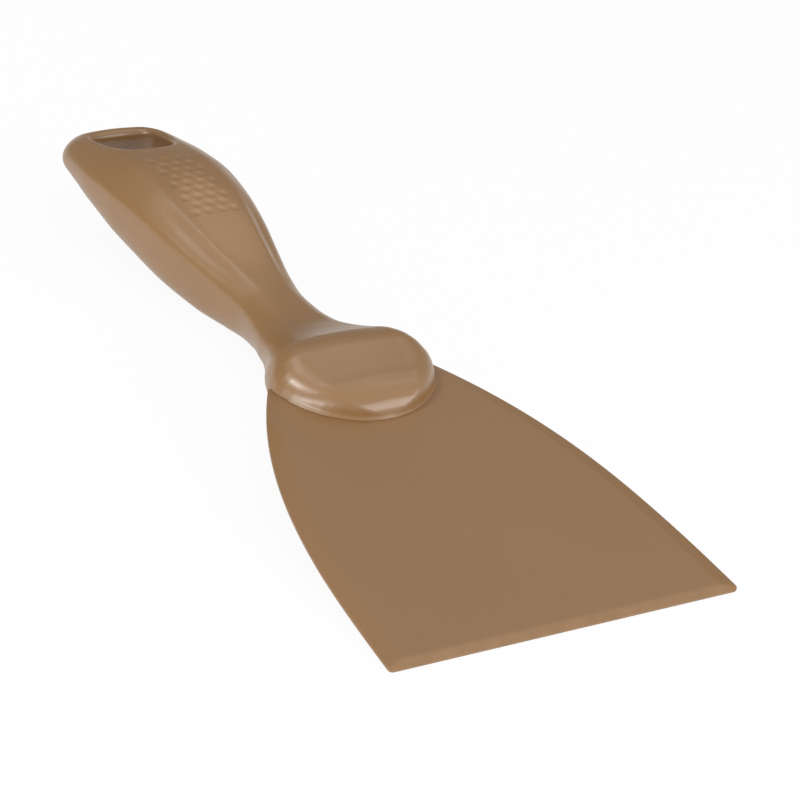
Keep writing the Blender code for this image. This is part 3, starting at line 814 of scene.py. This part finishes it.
def refine_surface(handle):
    """Give the handle even small faces, laid on the drawn surface and then relaxed."""
    make_active(handle)
    bpy.ops.object.duplicate()
    drawn = bpy.context.object
    remesh = handle.modifiers.new("even_faces", "REMESH")
    remesh.mode = "VOXEL"
    remesh.voxel_size = VOXEL
    wrap = handle.modifiers.new("back_on_surface", "SHRINKWRAP")
    wrap.target = drawn
    wrap.wrap_method = "NEAREST_SURFACEPOINT"
    relax = handle.modifiers.new("soft_creases", "SMOOTH")
    relax.factor = RELAX_FACTOR
    relax.iterations = RELAX_STEPS
    apply_modifiers(handle)
    bpy.data.objects.remove(drawn, do_unlink=True)


def soften_flank_edges(handle, form):
    """Round the grip's two widest lines, where the flanks meet the upright sides."""
    points = points_of(handle)
    stop = form.end - form.sizes.end_side * EDGE_LINE_STOP_SHARE
    places = np.linspace(form.neck_start, stop, EDGE_LINE_POINTS)
    lines = np.array([form.lines(place) for place in places])
    half = np.interp(points[:, 1], places, lines[:, 0])
    widest = np.interp(points[:, 1], places, lines[:, 2])
    near = 1.0 + EDGE_RELAX_FULL_SHARE - np.abs(points[:, 2] - widest) / EDGE_RELAX_REACH
    near[np.abs(points[:, 0]) < EDGE_LINE_SIDE_SHARE * half] = 0.0
    near[points[:, 1] < form.neck_start] = 0.0
    group = handle.vertex_groups.new(name="flank_edges")
    for weight in np.arange(1, EDGE_RELAX_BANDS + 1) / EDGE_RELAX_BANDS:
        group.add(np.flatnonzero(near >= weight).tolist(), weight, "REPLACE")
    soften = handle.modifiers.new("soft_flank_edges", "SMOOTH")
    soften.factor = RELAX_FACTOR
    soften.iterations = EDGE_RELAX_STEPS
    soften.vertex_group = group.name
    apply_modifiers(handle)
    handle.vertex_groups.clear()


def pip_places(form):
    """Centres of the staggered grip pips on the handle's top panel."""
    pitch = form.sizes.pip_pitch
    start = form.grip_start + PIP_START_SHARE * form.sizes.grip_length
    places = []
    for row in range(PIP_ROWS):
        y = start + row * pitch * PIP_ROW_SHARE
        count = PIP_COLUMNS - row % 2
        for column in range(count):
            places.append(((column - (count - 1) / 2) * pitch, y))
    return places


def sink_pips(handle, form):
    """Sink shallow round pips into the top panel where the grip is widest."""
    points = points_of(handle)
    for x, y in pip_places(form):
        reach = np.hypot(points[:, 0] - x, points[:, 1] - y) / form.sizes.pip_radius
        upper = points[:, 2] > form.lines(y)[2]
        bowl = np.clip(1.0 - reach ** PIP_FLATNESS, 0.0, 1.0)
        points[:, 2] -= np.where(upper, form.sizes.pip_depth * bowl, 0.0)
    place_points(handle, points)


def spread_foot(handle, form, blade):
    """Spread the foot of the collar's front into a small fillet where it meets the blade's face."""
    points = points_of(handle)
    normals = np.empty(len(points) * 3)
    handle.data.vertices.foreach_get("normal", normals)
    outward = normals.reshape(-1, 3)[:, :2]
    outward /= np.maximum(np.linalg.norm(outward, axis=1, keepdims=True), LEAST_NORMAL)
    height = points[:, 2] / form.sizes.fillet_height
    inside = side_half_width(blade, points[:, 1]) - blade.side_bevel - np.abs(points[:, 0])
    share = np.clip(inside / blade.side_bevel + 1.0, 0.0, 1.0)
    behind = (points[:, 1] - form.front) / (form.sizes.nose / 2)
    share *= np.clip(FOOT_END_SHARE - behind, 0.0, 1.0)
    share *= np.where(height > -FOOT_UNDER_SHARE, np.clip(1.0 - height, 0.0, 1.0) ** 2, 0.0)
    points[:, :2] += outward * (share * form.sizes.fillet_reach)[:, None]
    place_points(handle, points)


def add_root_pocket(handle, sizes):
    """Cut the pocket for the blade's root, a little larger than the blade all round."""
    blade = bpy.data.objects["blade_plate"]
    make_active(blade)
    bpy.ops.object.duplicate()
    cutter = bpy.context.object
    cutter.parent = None
    cutter.data.transform(resting_pose().inverted())
    cutter.matrix_world = Matrix.Identity(4)
    make_active(cutter)
    bpy.ops.object.mode_set(mode="EDIT")
    bpy.ops.mesh.select_all(action="SELECT")
    bpy.ops.transform.shrink_fatten(value=sizes.joint_gap)
    bpy.ops.object.mode_set(mode="OBJECT")
    cut_away(handle, cutter)


class ScraperHandle(bpy.types.Operator):
    """Model the handle with its collar, neck, grip, finger channels and hanging hole"""

    bl_idname = "scraper.handle"
    bl_label = "Handle"

    def execute(self, context):
        """Build the handle and put it in the frame."""
        sizes = context.scene.scraper_handle
        form = HandleForm(context.scene.scraper_blade, sizes)
        handle = add_tube("handle_moulding", form.ring_table())
        cut_away(handle, add_tube("hole_cutter", form.hole_table()))
        refine_surface(handle)
        soften_flank_edges(handle, form)
        sink_pips(handle, form)
        spread_foot(handle, form, context.scene.scraper_blade)
        add_root_pocket(handle, sizes)
        shade(handle, HANDLE_CRISP_DEGREES)
        handle.data.materials.clear()
        handle.data.materials.append(handle_material(sizes))
        lay_on_table(handle)
        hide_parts("handle")
        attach(handle, "root")
        return {"FINISHED"}


# Materials

def feed(tree, socket, value):
    """Link another socket to a socket, or set it to a plain value."""
    if isinstance(value, bpy.types.NodeSocket):
        tree.links.new(value, socket)
    else:
        socket.default_value = value


def add_node(tree, kind, inputs=(), **settings):
    """A node with its settings and its inputs, each a plain value or a socket to link from."""
    node = tree.nodes.new(kind)
    for name, value in settings.items():
        setattr(node, name, value)
    for name, value in dict(inputs).items():
        feed(tree, node.inputs[name], value)
    return node


def math_node(tree, operation, first, second):
    """Result of a sum on two numbers or sockets."""
    return add_node(tree, "ShaderNodeMath", {0: first, 1: second}, operation=operation).outputs[0]


def vector_node(tree, operation, first, second=(0.0, 0.0, 0.0)):
    """Results of a sum on two vectors or sockets."""
    return add_node(tree, "ShaderNodeVectorMath", {0: first, 1: second}, operation=operation).outputs


def noise(tree, place, scale, detail=2.0, roughness=0.5, distortion=0.0):
    """Noise from 0 to 1 over a surface."""
    values = {"Vector": place, "Scale": scale, "Detail": detail, "Roughness": roughness,
              "Distortion": distortion}
    return add_node(tree, "ShaderNodeTexNoise", values).outputs["Fac"]


def remap(tree, value, span, most=1.0, kind="LINEAR"):
    """Rises from 0 to a most while a value goes from one end of a span to the other."""
    values = {"Value": value, "From Min": span[0], "From Max": span[1], "To Max": most}
    return add_node(tree, "ShaderNodeMapRange", values, interpolation_type=kind).outputs["Result"]


def tinted(tree, mask, plain, other):
    """A colour that changes to another one where a mask says."""
    values = {"Factor": mask, "A": plain, "B": other}
    return add_node(tree, "ShaderNodeMix", values, data_type="RGBA").outputs["Result"]


def mould_grain(tree, given):
    """Fine spark-eroded grain of a mould: a small height that changes over the surface."""
    place = given["Coordinates"]
    fine = noise(tree, place, given["Grains per metre"], detail=3.0, roughness=0.6)
    broad = noise(tree, place, scale=260.0)
    return {"Height": math_node(tree, "ADD", fine, broad)}


def flow_tone(tree, given):
    """Slow change of tone in moulded plastic, with fine specks."""
    place = given["Coordinates"]
    cloud = noise(tree, place, scale=22.0, detail=4.0, roughness=0.55)
    speck = noise(tree, place, scale=1500.0)
    mixed = math_node(tree, "ADD", math_node(tree, "MULTIPLY", cloud, CLOUD_SHARE),
                      math_node(tree, "MULTIPLY", speck, 1.0 - CLOUD_SHARE))
    centred = math_node(tree, "SUBTRACT", mixed, NOISE_MIDDLE)
    swing = math_node(tree, "MULTIPLY", centred, given["Amount"])
    gain = math_node(tree, "ADD", math_node(tree, "MULTIPLY", swing, 2.0), 1.0)
    values = {0: given["Colour"], "Scale": gain}
    return {"Colour": add_node(tree, "ShaderNodeVectorMath", values, operation="SCALE").outputs[0]}


def handling_wear(tree, given):
    """Rubbed edges and fine scuffs: a paler colour and a rougher surface where a mask says."""
    place = given["Coordinates"]
    patch = noise(tree, place, scale=160.0, detail=4.0, roughness=0.65)
    rubbed = math_node(tree, "MULTIPLY", remap(tree, patch, PATCH_SPAN), given["Edge"])
    stretched = vector_node(tree, "MULTIPLY", place, given["Scuff Stretch"])["Vector"]
    lines = noise(tree, stretched, scale=1.0, distortion=0.4)
    scuffed = math_node(tree, "MULTIPLY", remap(tree, lines, SCUFF_SPAN), given["Scuffs"])
    mask = math_node(tree, "MAXIMUM", rubbed, scuffed)
    centred = math_node(tree, "SUBTRACT", patch, NOISE_MIDDLE)
    base = math_node(tree, "ADD", given["Roughness"],
                     math_node(tree, "MULTIPLY", centred, UNEVEN_ROUGHNESS))
    rougher = math_node(tree, "ADD", base, math_node(tree, "MULTIPLY", mask, WORN_ROUGHNESS))
    return {"Colour": tinted(tree, mask, given["Colour"], given["Worn Colour"]),
            "Roughness": rougher}


VECTOR, COLOUR, NUMBER = "NodeSocketVector", "NodeSocketColor", "NodeSocketFloat"
GROUPS = {
    # name: how it is filled, its inputs with their defaults, and its outputs
    "mould_grain": (mould_grain, {"Coordinates": (VECTOR, None), "Grains per metre": (NUMBER, 3000.0)},
                    {"Height": NUMBER}),
    "flow_tone": (flow_tone, {"Coordinates": (VECTOR, None), "Colour": (COLOUR, None),
                              "Amount": (NUMBER, 0.06)},
                  {"Colour": COLOUR}),
    "handling_wear": (handling_wear, {"Coordinates": (VECTOR, None), "Colour": (COLOUR, None),
                                      "Worn Colour": (COLOUR, None), "Roughness": (NUMBER, 0.4),
                                      "Edge": (NUMBER, 0.0), "Scuffs": (NUMBER, 0.2),
                                      "Scuff Stretch": (VECTOR, (900.0, 30.0, 900.0))},
                      {"Colour": COLOUR, "Roughness": NUMBER}),
}


def make_group(name):
    """A new shader node group with its sockets and its nodes."""
    fill, inputs, outputs = GROUPS[name]
    tree = bpy.data.node_groups.new(name, "ShaderNodeTree")
    for label, (kind, value) in inputs.items():
        socket = tree.interface.new_socket(label, in_out="INPUT", socket_type=kind)
        if value is not None:
            socket.default_value = value
    for label, kind in outputs.items():
        tree.interface.new_socket(label, in_out="OUTPUT", socket_type=kind)
    results = fill(tree, tree.nodes.new("NodeGroupInput").outputs)
    add_node(tree, "NodeGroupOutput", results)
    return tree


def use_group(tree, name, inputs):
    """Results of a shared node group, which is made when it is first used."""
    group = bpy.data.node_groups.get(name) or make_group(name)
    return add_node(tree, "ShaderNodeGroup", inputs, node_tree=group).outputs


def worn_and_highlight_colour(plastic):
    """Paler colour of the plastic, for rubbed wear and for the painted highlight on the grip."""
    return [min(1.0, value * WORN_AND_HIGHLIGHT_GAIN + WORN_AND_HIGHLIGHT_LIFT) for value in plastic[:3]] + [1.0]


def bevel_shade_tint(tree, _place, plastic):
    """The blade's colour, a little deeper on the side bevels as painted shade."""
    marks = add_node(tree, "ShaderNodeAttribute", attribute_name=BEVEL_MARK)
    shaded = [value * tone for value, tone in zip(plastic, BEVEL_SHADE_TONE)] + [1.0]
    return tinted(tree, marks.outputs["Fac"], plastic, shaded)


def painted_highlight_tint(tree, place, plastic):
    """The handle's colour, a little paler on the top panel as a painted highlight."""
    handle, blade = bpy.context.scene.scraper_handle, bpy.context.scene.scraper_blade
    along = (blade.reach + handle.collar_length + handle.neck_length
             + handle.grip_length * HIGHLIGHT_SHARE)
    centre = resting_pose() @ Vector((0.0, along, 0.0))
    offset = vector_node(tree, "SUBTRACT", place, centre)["Vector"]
    per_size = (1.0 / HIGHLIGHT_WIDTH, 1.0 / HIGHLIGHT_LENGTH, 0.0)
    away = vector_node(tree, "MULTIPLY", offset, per_size)["Vector"]
    away = vector_node(tree, "LENGTH", away)["Value"]
    painted_highlight = remap(tree, away, HIGHLIGHT_FADE_SHARES, HIGHLIGHT_STRENGTH, kind="SMOOTHSTEP")
    return tinted(tree, painted_highlight, plastic, worn_and_highlight_colour(plastic))


def curvature_mask(tree, _place):
    """Mask of the outward edges, from how pointed the surface is."""
    point = add_node(tree, "ShaderNodeNewGeometry").outputs["Pointiness"]
    return remap(tree, point, EDGE_POINTINESS, EDGE_WEAR)


def front_edge_mask(tree, place):
    """Mask of the last millimetres before the scraping edge, where a blade rubs."""
    along = add_node(tree, "ShaderNodeSeparateXYZ", {"Vector": place}).outputs["Y"]
    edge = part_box("blade")[0].y
    return remap(tree, along, (edge + FRONT_WEAR_REACH, edge), FRONT_WEAR)


def plastic_material(name, plastic, tint, edge_mask, roughness, gloss, scuffs):
    """Satin moulded plastic with fine grain, a slow change of tone, rubbed edges and scuffs."""
    material = bpy.data.materials.new(name)
    material.use_nodes = True
    tree = material.node_tree
    place = add_node(tree, "ShaderNodeTexCoord").outputs["Object"]
    # the tint paints shade on the blade's side bevels and a highlight on the handle's grip
    toned = use_group(tree, "flow_tone", {"Coordinates": place, "Amount": TONE_AMOUNT,
                                          "Colour": tint(tree, place, plastic)})
    rubbed = use_group(tree, "handling_wear", {
        "Coordinates": place, "Colour": toned["Colour"], "Worn Colour": worn_and_highlight_colour(plastic),
        "Roughness": roughness, "Edge": edge_mask(tree, place), "Scuffs": scuffs})
    grain = use_group(tree, "mould_grain", {"Coordinates": place})
    bump = add_node(tree, "ShaderNodeBump", {"Height": grain["Height"], "Distance": GRAIN_DEPTH,
                                             "Strength": GRAIN_STRENGTH})
    finish = {"Base Color": rubbed["Colour"], "Roughness": rubbed["Roughness"],
              "Normal": bump.outputs["Normal"], "IOR": PLASTIC_IOR, "Specular IOR Level": gloss}
    for label, value in finish.items():
        feed(tree, tree.nodes["Principled BSDF"].inputs[label], value)
    return material


def blade_material(sizes):
    """Plastic of the blade, with painted shade on its side bevels."""
    return plastic_material("blade_plastic_finish", sizes.plastic, bevel_shade_tint, front_edge_mask,
                            roughness=0.40, gloss=0.85, scuffs=0.08)


def handle_material(sizes):
    """Plastic of the handle, a little glossier, with a painted highlight on the grip."""
    return plastic_material("handle_plastic_finish", sizes.plastic, painted_highlight_tint, curvature_mask,
                            roughness=0.33, gloss=1.0, scuffs=0.06)


# Stage

def direction(azimuth, elevation):
    """Unit vector towards a compass direction; azimuth 0 is in front of the scraping edge."""
    return Vector((math.sin(azimuth) * math.cos(elevation),
                   -math.cos(azimuth) * math.cos(elevation), math.sin(elevation)))


def add_camera(stage):
    """Camera at the photograph's viewing angle, set in the level tool's frame."""
    back = direction(CAMERA_AZIMUTH, CAMERA_ELEVATION)
    right = Vector((math.cos(CAMERA_AZIMUTH), math.sin(CAMERA_AZIMUTH), 0.0))
    up = back.cross(right)
    rolled_right = right * math.cos(CAMERA_ROLL) + up * math.sin(CAMERA_ROLL)
    rolled_up = up * math.cos(CAMERA_ROLL) - right * math.sin(CAMERA_ROLL)
    place = Vector((stage.target_x, stage.target_y, 0.0)) + back * stage.camera_distance
    level = Matrix((rolled_right, rolled_up, back)).transposed().to_4x4()
    deselect_everything()
    bpy.ops.object.camera_add()
    camera = bpy.context.object
    camera.matrix_world = resting_pose() @ Matrix.Translation(place) @ level
    camera.data.lens = stage.lens
    camera.data.clip_start = CAMERA_NEAR
    camera.data.clip_end = CAMERA_FAR
    bpy.context.scene.camera = camera


def add_lamps():
    """Soft lamps round the tool."""
    aim = Vector((0.0, 0.0, AIM_HEIGHT))
    for name, azimuth, elevation, distance, width, height, watts in LAMPS:
        towards = direction(math.radians(azimuth), math.radians(elevation))
        bpy.ops.object.light_add(type="AREA", location=aim + towards * distance,
                                 rotation=towards.to_track_quat("Z", "Y").to_euler())
        lamp = bpy.context.object
        lamp.name = name
        lamp.data.shape = "ELLIPSE"
        lamp.data.size = width
        lamp.data.size_y = height
        lamp.data.energy = watts


def mix_shaders(tree, share, first, second):
    """Shader that goes from one to another with a share."""
    values = {0: share, 1: first.outputs[0], 2: second.outputs[0]}
    return add_node(tree, "ShaderNodeMixShader", values)


def floor_material(stage):
    """Pale floor that keeps a soft shadow, shows near white and can be looked through from below."""
    material = bpy.data.materials.new("pale_floor")
    material.use_nodes = True
    tree = material.node_tree
    tree.nodes.clear()
    rays = add_node(tree, "ShaderNodeLightPath").outputs
    seen = math_node(tree, "MAXIMUM", rays["Is Camera Ray"], rays["Is Glossy Ray"])
    seen = math_node(tree, "MAXIMUM", seen, rays["Is Transmission Ray"])
    matt = add_node(tree, "ShaderNodeBsdfDiffuse", {"Color": stage.floor_colour})
    white = add_node(tree, "ShaderNodeEmission", {"Color": WHITE, "Strength": 1.0})
    pale = mix_shaders(tree, math_node(tree, "MULTIPLY", seen, WHITE_SHARE), matt, white)
    from_below = add_node(tree, "ShaderNodeNewGeometry").outputs["Backfacing"]
    clear = add_node(tree, "ShaderNodeBsdfTransparent")
    surface = mix_shaders(tree, from_below, pale, clear)
    add_node(tree, "ShaderNodeOutputMaterial", {"Surface": surface.outputs[0]})
    return material


def add_floor(stage):
    """Wide floor just under the tool."""
    deselect_everything()
    bpy.ops.mesh.primitive_plane_add(size=stage.floor_width, location=(0.0, 0.0, -FLOOR_GAP))
    floor = bpy.context.object
    floor.name = "floor"
    floor.data.materials.append(floor_material(stage))


def missing_light(tree):
    """Share of the even light that is missing low behind the tool, where a studio is open."""
    spot = add_node(tree, "ShaderNodeTexCoord").outputs["Generated"]
    facing = vector_node(tree, "DOT_PRODUCT", spot, DARK_SIDE)["Value"]
    height = add_node(tree, "ShaderNodeSeparateXYZ", {"Vector": spot}).outputs["Z"]
    height = math_node(tree, "SUBTRACT", height, math_node(tree, "MULTIPLY", facing, DARK_CLIMB))
    behind = remap(tree, facing, DARK_SIDE_SPAN, kind="SMOOTHSTEP")
    low = remap(tree, height, DARK_HEIGHT_SPAN, kind="SMOOTHSTEP")
    return math_node(tree, "MULTIPLY", math_node(tree, "MULTIPLY", behind, low), DARK_DEPTH)


def light_world(stage):
    """Even light, darker low behind the tool, and plain white to the camera."""
    world = bpy.data.worlds.new("studio")
    bpy.context.scene.world = world
    world.use_nodes = True
    tree = world.node_tree
    tree.nodes.clear()
    lit = math_node(tree, "SUBTRACT", 1.0, missing_light(tree))
    strength = math_node(tree, "MULTIPLY", lit, stage.world_light)
    even = add_node(tree, "ShaderNodeBackground", {"Color": WHITE, "Strength": strength})
    white = add_node(tree, "ShaderNodeBackground", {"Color": WHITE, "Strength": 1.0})
    seen = add_node(tree, "ShaderNodeLightPath").outputs["Is Camera Ray"]
    mix = mix_shaders(tree, seen, even, white)
    add_node(tree, "ShaderNodeOutputWorld", {"Surface": mix.outputs[0]})


class ScraperStage(bpy.types.Operator):
    """Add the pale floor, the soft lamps and the camera"""

    bl_idname = "scraper.stage"
    bl_label = "Stage"

    def execute(self, context):
        """Build the stage round the tool."""
        stage = context.scene.scraper_stage
        add_floor(stage)
        add_lamps()
        light_world(stage)
        add_camera(stage)
        context.scene.view_settings.view_transform = "Standard"
        return {"FINISHED"}


class ScraperPanel(bpy.types.Panel):
    """Lists the pieces, their sizes and the stage."""

    bl_idname = "SCRAPER_PT_pieces"
    bl_label = "Hand scraper"
    bl_space_type = "VIEW_3D"
    bl_region_type = "UI"
    bl_category = "Scraper"

    def draw(self, context):
        """One button for each operator, with its sizes under it."""
        for operator, group in (("scraper.blade", context.scene.scraper_blade),
                                ("scraper.handle", context.scene.scraper_handle),
                                ("scraper.stage", context.scene.scraper_stage)):
            box = self.layout.box()
            box.operator(operator)
            for name in group.__annotations__:
                box.prop(group, name)


CLASSES = (ScraperBladeSizes, ScraperHandleSizes, ScraperStageSizes, ScraperBlade, ScraperHandle,
           ScraperStage, ScraperPanel)


def register():
    """Register the classes and hang the sizes on the scene."""
    for item in CLASSES:
        bpy.utils.register_class(item)
    bpy.types.Scene.scraper_blade = PointerProperty(type=ScraperBladeSizes)
    bpy.types.Scene.scraper_handle = PointerProperty(type=ScraperHandleSizes)
    bpy.types.Scene.scraper_stage = PointerProperty(type=ScraperStageSizes)


def unregister():
    """Take it all off again."""
    del bpy.types.Scene.scraper_stage
    del bpy.types.Scene.scraper_handle
    del bpy.types.Scene.scraper_blade
    for item in reversed(CLASSES):
        bpy.utils.unregister_class(item)


def main():
    """Build the scraper on its stage."""
    register()
    bpy.ops.scraper.stage()
    bpy.ops.scraper.blade()
    bpy.ops.scraper.handle()


if __name__ == "__main__":
    main()
